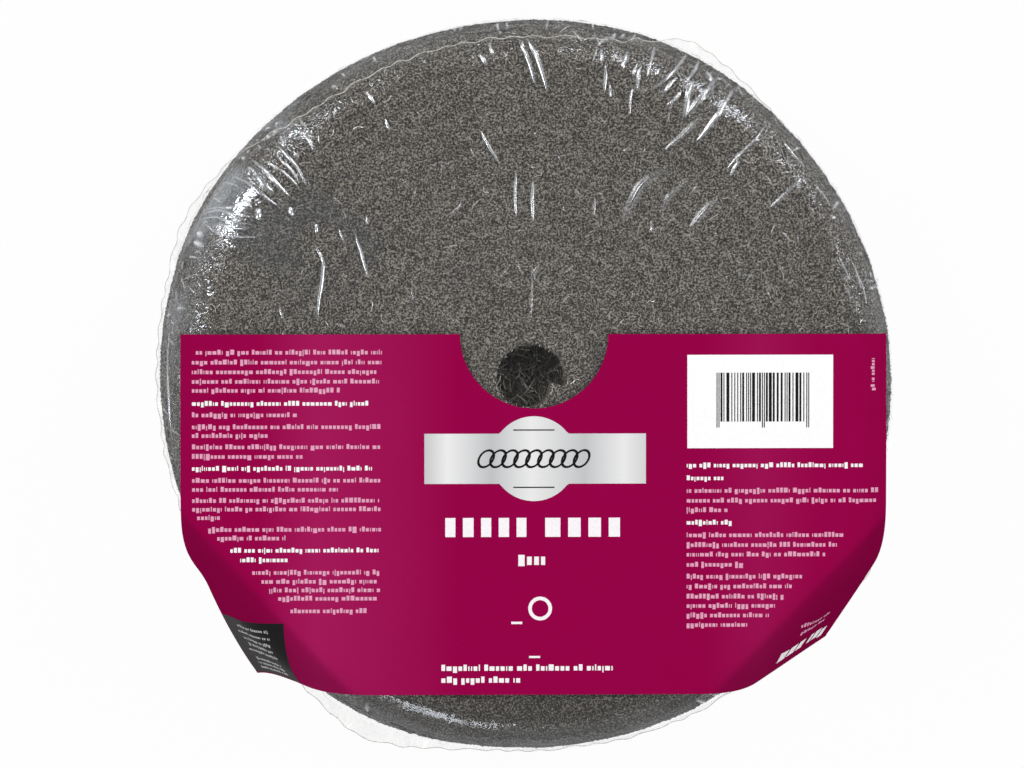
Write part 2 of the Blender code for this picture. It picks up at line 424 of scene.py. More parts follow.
woolFibres = {
    # name, count, range of distance along the section, length, width, segments
    "sets": (
        ("fibres_front", 95000, (0.0075, 0.1300), (0.0006, 0.0017), 0.00022, 1),
        ("fibres_long", 7000, (0.0080, 0.1300), (0.0025, 0.0065), 0.00015, 4),
        ("fibres_rim", 40000, (0.1250, 0.2070), (0.0016, 0.0050), 0.00028, 2),
        ("fibres_back", 50000, (0.2010, 0.3240), (0.0008, 0.0026), 0.00024, 1),
    ),
    "firstSeed": 40,
    "lifts": (-0.00012, 0.00022),
    "arch": 0.00035,
    "endsDip": 0.00025,
    "spread": math.radians(55),  # of headings either side of the winding direction
    "curl": 1.1,
    "wiggle": 0.3,
    "twist": 0.8,
    "untwist": 0.35,
    "coreClearance": 0.0004,
    "labelMargin": 0.002,
    "axisGap": 0.006,  # no strand comes nearer to the roll's axis
    "wallStart": (0.118, 0.130),
    "bottomStart": (0.098, 0.108),
    "dark": rgb(36, 33, 29),
    "middle": rgb(134, 128, 120),
    "light": rgb(255, 252, 246),
}


def fibreFinish():
    # every fibre lies at its own place on the map: up the map is its tone, across is chance
    finish = Finish("wool_fibre", Metallic=0.4)
    where = finish.add("UVMap", {"uv_map": "OFBake"})
    parts = finish.add("SeparateXYZ", None, {0: where}, "Y")
    tone = parts + (finish.noise(where, 40, 2) - 0.5) * 0.12
    stops = (
        (0.0, woolFibres["dark"][:3]),
        (0.6, woolFibres["middle"][:3]),
        (1.0, woolFibres["light"][:3]),
    )
    colour = finish.add("ValToRGB", {"stops": stops}, {0: tone})
    finish.drive("BaseColor", colour)
    finish.drive("Roughness", 0.5 - parts * 0.18)
    return finish.material


def underLabel(points, margin):
    x, y = points[..., 0], points[..., 1]
    inside = (x > -label["left"] + margin) & (x < label["right"] - margin)
    inside &= (y < label["top"] - margin) & (points[..., 2] > label["lowest"])
    inside &= np.hypot(x - label["notchX"], y - label["top"]) > label["notchRadius"] + margin
    for way, reach in label["shaded"]:
        inside &= x * math.cos(way) + y * math.sin(way) < reach
    return inside


def addTones(piece, rng, tone, segments):
    # places each strand on the map that its finish reads
    chance = rng.uniform(0.02, 0.94, len(tone))
    u = chance[:, None, None] + np.linspace(0, 0.04, segments + 1)[None, :, None]
    v = tone[:, None, None] + np.array([-0.004, 0.004])[None, None, :]
    addMap(piece, "OFBake", np.stack(np.broadcast_arrays(u, v), -1))


def buildFibres(name, count, span, lengths, width, segments, seed, finish):
    rng = np.random.default_rng(seed)
    # places are even over the surface, so a point's chance grows with its radius
    distance = rng.uniform(*span, count * 3)
    radius = section(distance)[0]
    keep = rng.uniform(0, roll["radius"], count * 3) < radius
    distance = distance[keep][:count]
    angle = rng.uniform(0, roundTurn, len(distance))
    places = woolPoint(distance, angle, 0.0)
    keep = ~underLabel(places, woolFibres["labelMargin"])
    keep &= fromMiddle(distance) > coreEdge(angle) - woolFibres["coreClearance"]
    distance, angle = distance[keep], angle[keep]
    total = len(distance)
    heading = rng.normal(0, woolFibres["spread"], total) + math.pi * rng.integers(0, 2, total)
    curl = rng.normal(0, woolFibres["curl"], total)
    wiggle = rng.normal(0, woolFibres["wiggle"], (segments, total))
    length = rng.uniform(*lengths, total) * rng.uniform(0.5, 1.0, total)
    twist = rng.uniform(-woolFibres["twist"], woolFibres["twist"], total)
    untwist = rng.normal(0, woolFibres["untwist"], total)
    lift = rng.uniform(*woolFibres["lifts"], total)
    arch = rng.uniform(0.0, woolFibres["arch"], total)
    gap = woolFibres["axisGap"]
    steps = []
    for step in range(segments + 1):
        share = step / segments
        dip = woolFibres["endsDip"] * abs(2 * share - 1) ** 2
        steps.append(woolPoint(distance, angle, lift + arch * math.sin(math.pi * share) - dip))
        if step < segments:
            way = heading + curl * (share - 0.5) + wiggle[step]
            stride = length / segments
            angle = angle + np.cos(way) * stride / np.maximum(section(distance)[0], gap)
            distance = np.clip(distance + np.sin(way) * stride, gap, sectionLength - gap)
    path = np.stack(steps, 1)
    along = np.gradient(path, axis=1)
    along /= np.linalg.norm(along, axis=2, keepdims=True)
    normal = rollNormal(distance, angle)[:, None, :]
    across = np.cross(along, np.broadcast_to(normal, along.shape))
    across /= np.linalg.norm(across, axis=2, keepdims=True)
    lean = twist[:, None] + untwist[:, None] * np.linspace(-1, 1, segments + 1)[None, :]
    half = width / 2 * rng.uniform(0.6, 1.4, total)[:, None, None]
    edge = (np.cos(lean)[..., None] * across + np.sin(lean)[..., None] * normal) * half
    points = np.stack([path - edge, path + edge], 2)
    first = np.arange(total)[:, None] * (segments + 1) * 2 + np.arange(segments)[None, :] * 2
    faces = np.stack([first, first + 1, first + 3, first + 2], -1).reshape(-1, 4)
    piece = addPiece(name, points, faces, finish)
    # tone: chance, with painted shade that makes it darker in the grooves, on the wall and
    # towards the bottom
    onWall = smoothStep(fromMiddle(distance), *woolFibres["wallStart"])
    tone = rng.beta(0.8, 1.4, total)
    tone *= (1 - 0.16 * grooveDepth(distance, angle)) * (1 - 0.28 * onWall)
    down = -path.mean(1)[:, 1]
    atBottom = smoothStep(down, *woolFibres["bottomStart"])
    tone *= 1 - 0.14 * smoothStep(down, 0.0, 0.11) - 0.34 * atBottom
    addTones(piece, rng, np.clip(tone, 0.02, 0.98), segments)


# Loose strands that fill the core

coreStrands = {
    "count": 4200,
    "reach": 0.0135,
    "depth": (0.0150, 0.0330),
    "lengths": (0.0030, 0.0080),
    "width": 0.00024,
    "segments": 3,
    "bend": 0.8,
    "rise": 0.1,
}


def buildCoreStrands(finish):
    rng = np.random.default_rng(52)
    total, segments = coreStrands["count"], coreStrands["segments"]
    radius = coreStrands["reach"] * np.sqrt(rng.random(total))
    angle = rng.uniform(0, roundTurn, total)
    depth = rng.uniform(*coreStrands["depth"], total)
    middle = np.stack([
        roll["coreShift"][0] + radius * np.cos(angle),
        roll["coreShift"][1] + radius * np.sin(angle),
        roll["top"] - depth,
    ], -1)
    heading = rng.uniform(0, roundTurn, total)[:, None]
    bend = rng.normal(0, coreStrands["bend"], total)[:, None]
    way = heading + bend * np.linspace(-0.5, 0.5, segments + 1)[None, :]
    stride = rng.uniform(*coreStrands["lengths"], total)[:, None] / segments
    rise = rng.normal(0, coreStrands["rise"], way.shape)
    path = np.stack([np.cos(way) * stride, np.sin(way) * stride, rise * stride], -1)
    path = middle[:, None, :] + np.cumsum(path, 1) - path.sum(1, keepdims=True) / 2
    side = np.stack([-np.sin(way), np.cos(way), 0 * way], -1) * coreStrands["width"] / 2
    points = np.stack([path - side, path + side], 2)
    strip = gridFaces(segments + 1, 2, False)
    faces = strip[None] + (np.arange(total) * (segments + 1) * 2)[:, None, None]
    piece = addPiece("fibres_core", points, faces.reshape(-1, 4)[:, ::-1], finish)
    addTones(piece, rng, rng.beta(1.2, 2.0, total), segments)


# Clear shrink film, its weld seam and its corner ears

film = {
    "offset": 0.0004,
    "ripple": 0.00012,
    "lowest": 0.00003,  # above the floor
    "columns": 360,
    "frontRows": 70,
    "wallRows": 34,
    "backRows": 44,
    "start": 0.0008,
    "vent": 0.0030,
    "seamInset": 0.0078,
    "climbCentre": math.radians(103.5),
    "climbHalfAngle": math.radians(48),
    "earHalfAngle": math.radians(9),
    "swellHalfAngle": math.radians(22),
    # angle, ear length, swell, swell's half height: the bag's corners and one loose fold
    "corners": (
        (math.radians(65), 0.0028, 0.0028, 0.040),
        (math.radians(152), 0.0022, 0.0024, 0.040),
        (math.radians(246), 0.0046, 0.0036, 0.024),
        (math.radians(300), 0.0000, 0.0034, 0.024),
        (math.radians(332), 0.0090, 0.0020, 0.014),
    ),
    # most crumpled near the two upper corners, least below the label: share, angle, half angle
    "crumpled": (
        (0.65, math.radians(62), 0.5),
        (0.50, math.radians(155), 0.5),
        (-0.22, math.radians(270), 0.7),
    ),
    "evenlyCrumpled": 0.35,
    "nearRim": (0.095, 0.115),  # along the section, where the crumpling begins
    # where the painted reflection patch lies on the front
    "hazeCentre": (-0.075, 0.050),
    "hazeRadius": (0.02, 0.07),
    "tint": (0.86, 0.92, 1.0, 1.0),
    "relief": 0.0014,
}


def bell(angle, centre, halfAngle, power=2):
    # 1 at a centre on the way round, falling to 0 on both sides of it
    away = (angle - centre + math.pi) % roundTurn - math.pi
    return np.exp(-((away / halfAngle) ** power))


def seamDistance(angle):
    climb = bell(angle, film["climbCentre"], film["climbHalfAngle"], 6)
    return wallMiddle - climb * (wallMiddle - faceRadius - film["seamInset"])


def filmSwell(distance, angle):
    total = 0.0
    for corner, ear, swell, halfHeight in film["corners"]:
        nearCorner = bell(angle, corner, film["swellHalfAngle"])
        upTheWall = np.exp(-(((distance - wallMiddle) / halfHeight) ** 2))
        total = total + swell * nearCorner * upTheWall
    return total


def glint(finish):
    # share of light that clear film reflects, the same from both of its sides
    facing = finish.add("LayerWeight", None, {"Blend": 0.5}, "Facing")
    return 0.045 + facing ** 5 * 0.05


def filmFinish():
    finish = Finish("shrink_film", BaseColor=film["tint"], Metallic=1.0, Roughness=0.1)
    where = finish.place()
    haze = finish.between(finish.noise(where, 30, 3, 0.8), 0.45, 0.7)
    # painted reflection: a patch on the left of the front reflects more, on top of the film's own
    # patchy haze
    alpha = glint(finish) + haze * 0.03 + finish.attribute("haze") * haze * 0.26
    finish.drive("Alpha", alpha)
    loose = finish.between(finish.noise(where, 55, 2), 0.42, 0.6)
    slack = finish.attribute("slack") * (0.35 + loose)
    ripple = finish.noise(where, 110, 2, 0.5)
    crumple = finish.noise(where, 420, 2, 1.0)
    finish.bump(ripple * 0.5 + crumple * slack * 1.1, 0.6, film["relief"])
    return finish.material


filmRipples = rolling(23, (0.009, 0.014, 0.024))


def filmPoint(distance, angle, offset):
    ripple = film["ripple"] * filmRipples(rollPoint(distance, angle, 0.0))
    swell = filmSwell(distance, angle)
    point = rollPoint(distance, angle, film["offset"] + offset + ripple, swell)
    point[..., 2] = np.maximum(point[..., 2], film["lowest"])
    return point


def buildFilm():
    columns = film["columns"]
    angle = np.arange(columns) / columns * roundTurn
    rimEnd = sectionLength - shoulderEnd
    front = np.linspace(film["start"], shoulderEnd, film["frontRows"])
    wall = np.linspace(shoulderEnd, rimEnd, film["wallRows"] + 2)[1:-1]
    back = np.linspace(rimEnd, sectionLength - film["vent"], film["backRows"])
    distance = np.concatenate([front, wall, back])
    distance, angle = np.meshgrid(distance, angle, indexing="ij")
    points = filmPoint(distance, angle, 0.0)
    faces = gridFaces(len(points), columns, True).tolist()
    faces.append(list(range(columns)))
    piece = addPiece("film_wrap", points, faces, filmFinish())
    # a patch on the left of the front where the film is painted to reflect more
    x, y = film["hazeCentre"]
    toReflection = np.hypot(points[..., 0] - x, points[..., 1] - y)
    onFront = points[..., 2] > (roll["top"] + roll["bottom"]) / 2
    addValues(piece, "haze", (1 - smoothStep(toReflection, *film["hazeRadius"])) * onFront)
    crumpled = film["evenlyCrumpled"]
    for share, centre, halfAngle in film["crumpled"]:
        crumpled = crumpled + share * bell(angle, centre, halfAngle)
    addValues(piece, "slack", crumpled * smoothStep(fromMiddle(distance), *film["nearRim"]))
    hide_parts("shrink_film")


# Creases of the film: those that the front shows, and gathers that chance places all round

creases = {
    "steepness": 0.75,  # a ridge's height as a share of its width
    "step": 0.0006,
    "rows": (6, 26),
    "across": (-1.6, -0.9, -0.4, 0.0, 0.4, 0.9, 1.6),
    "clearance": 0.00003,
    "overLabel": 0.001,
    # width, strength of its painted highlight, and the path's x and y, x and y, in mm as the
    # front is seen
    "front": (
        (0.5, 0.8, -85.4, 81.4, -80.7, 76.5, -77.3, 72.2, -74.5, 66.2),
        (0.5, 0.8, -84.2, 76.7, -79.9, 72.2, -77.3, 68.2),
        (0.4, 0.7, -89.1, 75.6, -85.0, 73.5, -81.2, 70.5, -78.2, 67.5, -77.3, 64.9),
        (0.7, 0.8, -92.7, 75.6, -88.0, 71.8, -85.0, 67.9, -80.3, 63.2),
        (1.1, 0.55, -92.2, 72.2, -89.7, 67.9, -87.6, 66.2, -85.7, 64.1),
        (0.5, 0.6, -99.1, 70.1, -93.6, 67.5, -88.0, 62.8, -83.7, 59.8),
        (0.4, 0.5, -101.7, 67.7, -98.2, 67.1, -96.1, 65.4), (0.5, 0.8, -96.1, 62.8, -92.7, 59.6),
        (0.8, 1.0, -80.7, 60.3, -79.7, 57.0), (1.0, 1.0, -90.8, 59.8, -91.0, 55.5),
        (0.4, 0.6, -109.5, 59.8, -102.5, 59.4, -96.5, 59.8, -92.7, 59.0),
        (0.5, 0.6, -109.3, 57.7, -103.4, 58.6, -99.1, 57.3, -91.0, 56.8),
        (0.4, 0.7, -109.7, 55.5, -104.6, 56.4, -99.1, 54.7, -91.8, 54.3),
        (0.7, 0.6, -105.9, 54.1, -99.5, 53.2, -93.6, 53.0),
        (0.4, 0.6, -108.9, 55.1, -105.9, 52.6, -103.4, 50.4, -97.0, 50.2, -91.0, 50.0,
         -87.6, 51.7),
        (0.4, 0.6, -107.2, 63.2, -104.6, 62.8, -102.5, 60.9),
        (0.9, 1.0, -110.4, 51.1, -108.3, 50.0), (0.9, 1.0, -111.5, 48.1, -108.3, 46.6),
        (0.6, 1.0, -71.8, 54.7, -71.8, 51.3),
        (0.6, 0.9, -72.2, 48.7, -71.8, 45.7, -69.2, 42.8, -69.9, 35.5, -71.6, 21.4),
        (0.4, 0.7, -64.5, 53.0, -63.2, 50.0, -62.0, 47.6),
        (0.5, 0.9, -59.0, 51.7, -58.1, 48.3, -56.8, 45.3, -56.4, 43.2, -55.2, 39.1, -53.9, 35.5),
        (0.4, 0.7, -55.3, 56.8, -54.5, 54.3),
        (0.5, 0.8, -76.5, 85.0, -74.3, 82.9, -73.0, 80.3, -72.2, 78.2),
        (0.4, 0.6, -71.3, 84.0, -70.5, 81.6), (0.4, 0.6, -79.5, 78.8, -77.3, 76.1),
        (0.5, 0.8, -87.6, 83.7, -86.5, 82.4), (0.5, 0.7, -85.4, 85.2, -84.4, 84.0),
        (0.4, 0.6, -90.5, 80.3, -89.1, 78.8), (0.7, 0.8, -96.5, 76.7, -94.3, 75.4),
        (0.5, 0.8, -101.7, 73.7, -98.7, 72.6), (0.5, 0.7, 28.4, 117.5, 27.6, 115.4),
        (0.4, 0.5, 35.7, 117.3, 33.3, 114.3), (0.7, 1.0, 32.3, 111.8, 30.8, 107.1, 30.5, 105.8),
        (0.5, 0.7, 23.5, 113.1, 23.7, 107.1), (0.6, 0.9, 25.0, 107.5, 24.8, 102.4, 24.4, 98.1),
        (0.5, 0.9, 26.5, 101.1, 26.4, 96.4), (0.5, 0.7, 35.5, 107.9, 33.8, 103.2),
        (0.6, 0.8, 36.7, 107.1, 35.5, 102.4, 35.7, 99.4, 36.7, 98.1),
        (0.4, 0.9, 34.2, 100.0, 33.1, 96.4, 33.0, 90.4),
        (0.6, 0.7, 41.4, 113.1, 39.7, 107.1, 38.9, 102.4), (0.6, 0.9, 43.1, 106.2, 41.4, 103.7),
        (0.6, 0.6, 53.4, 111.8, 48.7, 105.8, 45.3, 102.8, 41.4, 99.4, 37.2, 98.5),
        (0.6, 0.9, 48.7, 103.0, 46.1, 100.7, 45.1, 98.3, 42.7, 98.5),
        (0.6, 0.6, 56.4, 108.1, 54.7, 104.9, 52.5, 102.4, 50.4, 100.2),
        (0.5, 0.9, 50.2, 99.0, 49.1, 96.4, 45.3, 93.9),
        (0.9, 0.8, 54.5, 102.4, 52.5, 98.1, 52.1, 94.3, 51.1, 89.1),
        (1.2, 0.5, 61.9, 102.4, 57.7, 97.3, 54.7, 93.9, 51.7, 89.6),
        (1.0, 0.9, 58.6, 104.7, 59.6, 102.8, 60.6, 101.4),
        (0.8, 0.9, 67.9, 99.0, 65.8, 96.0, 62.8, 91.3, 60.2, 87.9, 56.4, 82.7, 54.7, 81.5),
        (1.0, 0.4, 58.1, 90.8, 54.7, 87.9, 50.8, 84.0, 46.1, 80.2, 44.4, 78.5),
        (0.5, 0.6, 79.0, 87.9, 75.6, 83.2, 70.5, 78.1, 67.1, 74.6, 64.9, 71.6),
        (0.5, 0.8, 70.2, 75.7, 68.3, 73.8, 66.6, 69.9),
        (1.6, 0.3, 48.3, 74.6, 39.7, 69.5, 36.8, 67.6, 32.1, 58.6, 30.4, 53.2),
        (0.5, 0.6, 84.6, 81.5, 88.8, 76.4, 92.3, 72.3), (0.5, 0.7, 95.7, 66.9, 100.4, 60.6),
        (0.7, 1.0, -1.3, 116.4, 1.0, 112.1, 3.0, 107.4, 5.7, 98.0),
        (0.6, 0.8, -3.7, 115.1, -0.3, 107.4, 1.7, 100.0), (0.6, 0.9, -17.4, 111.4, -14.7, 107.1),
        (0.5, 0.8, -14.1, 115.4, -12.7, 110.8), (0.5, 0.9, -55.2, 99.0, -51.9, 94.0),
        (0.5, 0.9, -48.9, 89.7, -47.2, 85.3), (0.5, 0.8, -17.1, 85.7, -13.7, 79.6, -10.0, 73.9),
        (0.5, 1.0, -5.0, 72.9, -5.4, 64.2, -5.0, 56.2),
        (0.6, 1.0, 0.7, 69.6, 0.3, 62.6, 0.7, 54.5), (0.3, 0.4, 0.0, 41.8, 0.3, 32.5, 0.0, 22.1),
        (0.4, 0.6, -84.3, 27.1, -82.6, 22.1), (0.9, 0.3, 54.5, 70.3, 45.5, 63.2, 42.8, 55.9),
        (0.4, 0.6, 40.2, 55.9, 40.2, 51.5), (0.4, 0.5, 21.4, 63.9, 21.1, 56.9),
        (1.4, 0.25, 62.6, 63.9, 52.9, 52.5), (0.8, 0.35, 92.3, 71.3, 79.6, 59.2),
        (0.6, 0.8, -24.8, -103.1, -18.1, -108.4, -9.0, -115.4),
        (0.5, 0.8, -9.7, -104.4, -4.3, -109.1), (0.5, 0.7, -48.2, -106.1, -40.2, -110.8),
        (0.5, 0.6, -28.4, -106.4, -25.8, -108.1),
        (0.6, 0.7, -70.6, -100.7, -50.5, -111.4, -29.8, -119.1),
        (0.6, 0.6, 60.9, -103.1, 67.3, -107.4), (0.6, 0.6, 55.2, -104.7, 61.9, -108.7),
        (0.5, 0.7, 103.1, 43.5, 106.7, 35.8), (0.5, 0.8, 107.7, 41.8, 110.8, 32.5),
        (0.5, 0.7, 110.4, 35.8, 112.8, 27.4), (0.5, 0.6, 105.1, 34.1, 107.4, 29.1),
        (0.6, 0.7, -119.8, 19.1, -120.5, -4.3, -119.5, -17.7),
        (0.5, 0.5, -117.4, 32.5, -117.4, 28.4), (0.6, 0.6, -115.1, 41.8, -115.4, 38.5),
    ),
    # count, distance along the section, length, width, heading from radial in degrees, strength
    # of its painted highlight
    "gathers": (
        (260, (0.1080, 0.1290), (0.0025, 0.0085), 0.00045, 25, (0.2, 0.8)),
        (200, (0.0300, 0.1080), (0.0020, 0.0090), 0.00035, 40, (0.04, 0.28)),
        (260, (0.1310, 0.2050), (0.0100, 0.0420), 0.00050, 10, (0.04, 0.30)),
        (200, (0.2050, 0.2860), (0.0050, 0.0200), 0.00050, 20, (0.05, 0.40)),
    ),
    "gatherBend": 0.35,
    "gatherPoints": 5,
}


def creaseFinish():
    finish = Finish("film_crease", Metallic=1.0, Roughness=0.26)
    # painted highlight: the shine attribute makes the real ridges reflect far more than clear
    # film does, made patchy by this noise
    patchyShine = finish.noise(finish.place(), 900, 2)
    finish.drive("BaseColor", finish.mix(patchyShine, (0.82, 0.88, 0.96, 1.0), (1.0, 1.0, 1.0, 1.0)))
    finish.drive("Alpha", finish.attribute("shine") * (0.6 + patchyShine * 0.5 + glint(finish)))
    return finish.material


def onSection(x, y):
    # angle and distance along the section of a point seen on the front
    radius = np.hypot(x, y)
    past = np.clip((radius - faceRadius) / roll["shoulder"], 0, 0.97)
    onShoulder = faceRadius + roll["shoulder"] * np.arcsin(past)
    return np.arctan2(y, x), np.where(radius < faceRadius, radius, onShoulder)


def creaseStrip(angle, distance, width, strength):
    # a ridge of film along a path, fading out at both ends
    angle = np.unwrap(angle)
    radius = section(distance)[0]
    stride = np.hypot(np.diff(angle) * (radius[1:] + radius[:-1]) / 2, np.diff(distance))
    along = np.concatenate([[0], np.cumsum(stride)])
    least, most = creases["rows"]
    count = min(most, max(least, int(along[-1] / creases["step"])))
    even = np.linspace(0, along[-1], count)
    angle, distance = np.interp(even, along, angle), np.interp(even, along, distance)
    if len(along) > 2:
        # four passes round off the path's corners
        for _ in range(4):
            for path in (angle, distance):
                path[1:-1] = np.convolve(path, (0.25, 0.5, 0.25), "valid")
    radius = section(distance)[0]
    ahead = np.stack([np.gradient(angle) * radius, np.gradient(distance)])
    ahead /= np.hypot(*ahead)
    taper = np.sin(math.pi * np.linspace(0, 1, count)) ** 0.6
    offsets = np.array(creases["across"])
    reach = offsets[None, :] * (width * (0.45 + 0.55 * taper))[:, None]
    sideAngle = angle[:, None] - ahead[1][:, None] * reach / radius[:, None]
    sideDistance = distance[:, None] + ahead[0][:, None] * reach
    ridge = np.exp(-((offsets / 0.62) ** 2))
    height = creases["steepness"] * width * ridge[None, :] * taper[:, None]
    points = filmPoint(sideDistance, sideAngle, height + creases["clearance"])
    shine = strength * np.exp(-((offsets / 0.8) ** 2))[None, :] * taper[:, None]
    shine[:, [0, -1]] = 0
    return points, shine


def buildCreases():
    rng = np.random.default_rng(61)
    strips = []
    for width, strength, *path in creases["front"]:
        x, y = np.reshape(path, (-1, 2)).T / 1000
        strips.append(creaseStrip(*onSection(x, y), width / 1000, strength))
    steps = np.linspace(-0.5, 0.5, creases["gatherPoints"])
    for count, span, lengths, width, spread, strengths in creases["gathers"]:
        for _ in range(count):
            angle, distance = rng.uniform(0, roundTurn), rng.uniform(*span)
            heading = math.radians(90 + rng.normal(0, spread))
            stride = rng.uniform(*lengths) / len(steps)
            way = heading + rng.normal(0, creases["gatherBend"]) * steps
            angles = angle + np.cumsum(np.cos(way)) * stride / section(distance)[0]
            distances = distance + np.cumsum(np.sin(way)) * stride
            scale = rng.uniform(0.6, 1.4)
            strips.append(creaseStrip(angles, distances, width * scale, rng.uniform(*strengths)))
    # none shows where the label covers the film
    strips = [
        (points, shine) for points, shine in strips
        if not underLabel(points[len(points) // 2, points.shape[1] // 2], -creases["overLabel"])
    ]
    points, faces = joined([
        (points.reshape(-1, 3), gridFaces(*points.shape[:2], False)) for points, shine in strips
    ])
    piece = addPiece("film_creases", points, faces, creaseFinish())
    addValues(piece, "shine", np.concatenate([shine.ravel() for points, shine in strips]))


# The weld: its fin stands out all round, and runs out into an ear at each corner of the bag

seam = {
    "steps": 900,
    "across": 5,
    "width": 0.0014,
    "leastWidth": 0.0003,
    "bead": 0.00016,
    "beadSides": 5,
    "scallop": 0.0085,
    "scallopLean": 0.0004,
    "flutter": 0.0002,
    "earFlutter": 0.28,
    "flutters": 61,
    "chanceEvery": 12,
}


def seamFinish(name, alpha, roughness):
    finish = Finish(name, Roughness=roughness, Metallic=0.3)
    speckle = finish.noise(finish.place(), 700, 3, 1.0)
    finish.drive("BaseColor", finish.mix(speckle, rgb(214, 212, 200), rgb(250, 250, 246)))
    finish.drive("Alpha", (speckle - 0.15) * alpha)
    return finish.material


def buildSeam():
    rng = np.random.default_rng(71)
    steps = np.arange(seam["steps"])
    angle = steps / seam["steps"] * roundTurn
    middle = seamDistance(angle)
    halfAngle = film["earHalfAngle"]
    ears = sum(ear * bell(angle, corner, halfAngle) for corner, ear, *_ in film["corners"])
    knots = np.arange(0, seam["steps"] + 1, seam["chanceEvery"])
    chance = np.interp(steps, knots, rng.uniform(-1, 1, len(knots)))
    scallopTurns = angle * roll["radius"] / seam["scallop"] * roundTurn
    scallops = 0.5 + 0.5 * np.sin(scallopTurns + chance * 2)
    width = seam["width"] * (0.35 + 0.45 * scallops + 0.2 * chance) + ears
    width = np.maximum(width, seam["leastWidth"])
    lean = np.sin(angle * seam["flutters"] + chance * 1.5)
    lean = lean * (seam["flutter"] + ears * seam["earFlutter"]) + seam["scallopLean"] * scallops
    shares = np.linspace(0, 1, seam["across"])
    fin = np.stack([filmPoint(middle + lean * share, angle, width * share) for share in shares])
    faces = gridFaces(len(fin), len(steps), True)
    addPiece("film_seam", fin, faces, seamFinish("weld_fin", 0.32, 0.2))
    # a fine bead of melted film along the fin's edge
    bead = []
    for turn in np.arange(seam["beadSides"] + 1) / seam["beadSides"] * roundTurn:
        distance = middle + lean + seam["bead"] * math.cos(turn)
        bead.append(filmPoint(distance, angle, width + seam["bead"] * math.sin(turn)))
    faces = gridFaces(len(bead), len(steps), True)
    finish = seamFinish("weld_bead", 1.2, 0.3)
    addPiece("film_bead", np.stack(bead), faces, finish)


# Paper label

label = {
    "left": 0.1172,
    "right": 0.1196,
    "top": 0.0177,
    "bottom": 0.1031,
    "lift": 0.00105,  # of the sheet's middle above the wool
    "thickness": 0.0003,
    "notchRadius": 0.0249,
    "notchX": 0.0010,
    "notchSteps": 40,
    "foldSteps": 16,
    # the right corner is folded straight, this way, and the left corner goes round the rim:
    # where each starts beyond the flat face, and its slope
    "foldWay": math.radians(315),
    "fold": (0.0018, math.radians(73)),
    "wrap": (0.0022, math.radians(74)),
    "wrapSlide": 0.0135,  # how far the left corner's tip slides along the rim
    "shaded": ((math.radians(222.9), 0.1136), (math.radians(315.7), 0.1153)),
    # how far below the middle and left of it the wrap sets in
    "wrapDown": (0.026, 0.068),
    "wrapLeft": (0.0, 0.040),
    "wrapReach": 0.045,
    "lowest": 0.080,  # nothing below this height lies under the label
    "shadeEdge": (-0.0008, 0.0022),
    "wave": 0.00007,
    # cuts of the flat sheet: how many, and how far apart
    "cells": (15, 0.0078),
    "wrapCells": (33, 0.0022),
    "wrapStarts": ((math.pi, 0.0440), (-math.pi / 2, 0.0310)),
    "edgeCells": (8, 0.0014),
    "plain": (rgb(142, 4, 66), rgb(148, 6, 71)),
    "fibre": rgb(122, 2, 57),
    "lit": rgb(172, 38, 102),
    "shade": rgb(100, 6, 48),
    # light on the sheet, from its left edge to its right
    "glow": (
        (0.0, 0.0), (0.12, 0.05), (0.20, 1.0), (0.32, 0.45), (0.40, 0.0), (0.74, 0.0),
        (0.82, 0.5), (0.90, 0.05), (1.0, 0.0),
    ),
    "relief": 0.0003,
}
foldRadius = roll["shoulder"] + label["lift"]
labelWaves = rolling(31, (0.030, 0.047))


def bent(past, slope):
    # shift inwards, drop and turn of paper that goes round an edge
    turned = np.minimum(past / foldRadius, slope)
    straight = past - turned * foldRadius
    shift = foldRadius * np.sin(turned) + straight * np.cos(turned) - past
    drop = foldRadius * (1 - np.cos(turned)) + straight * np.sin(turned)
    return shift, drop, turned


def tilted(normal, outX, outY, turned):
    # the paper's normal, turned outwards where the paper goes round an edge
    turn = np.stack([outX * np.sin(turned), outY * np.sin(turned), np.cos(turned)], -1)
    return np.where(turned[..., None] > 0, turn, normal)


def labelSurface(flat, lift):
    # where points of the flat label lie once it is folded over the rim
    x, y = flat[:, 0], flat[:, 1]
    normal = np.array((0.0, 0.0, 1.0))
    # the right corner's plain fold
    cosine, sine = math.cos(label["foldWay"]), math.sin(label["foldWay"])
    start, slope = label["fold"]
    past = np.maximum(0, x * cosine + y * sine - faceRadius - start)
    shift, drop, turned = bent(past, slope)
    normal = tilted(normal, cosine, sine, turned)
    x, y, height = x + shift * cosine, y + shift * sine, -drop
    # the left corner, which goes round the rim and slides along it
    start, slope = label["wrap"]
    inCorner = smoothStep(-y, *label["wrapDown"]) * smoothStep(-x, *label["wrapLeft"])
    radius = np.hypot(x, y)
    outX, outY = x / radius, y / radius
    past = np.maximum(0, radius - faceRadius - start) * inCorner
    shift, drop, turned = bent(past, slope)
    normal = tilted(normal, outX, outY, turned)
    slide = label["wrapSlide"] * (past / label["wrapReach"]) ** 2
    x, y = x + shift * outX - slide * outY, y + shift * outY + slide * outX
    # the short sides droop a little over the rim
    beyond = np.maximum(0, np.abs(x) - faceRadius)
    height = height - drop - beyond ** 2 / (2 * foldRadius)
    droop = np.sign(x) * beyond / foldRadius
    normal[:, 0] += np.where(normal[:, 2] > 0.999, droop, 0)
    normal /= np.linalg.norm(normal, axis=-1, keepdims=True)
    spread = np.stack([flat[:, 0], flat[:, 1], 0 * x], -1)
    lift = lift + label["wave"] * labelWaves(spread)
    middle = np.stack([x, y, roll["top"] + label["lift"] + height], -1)
    return middle + normal * lift[:, None]


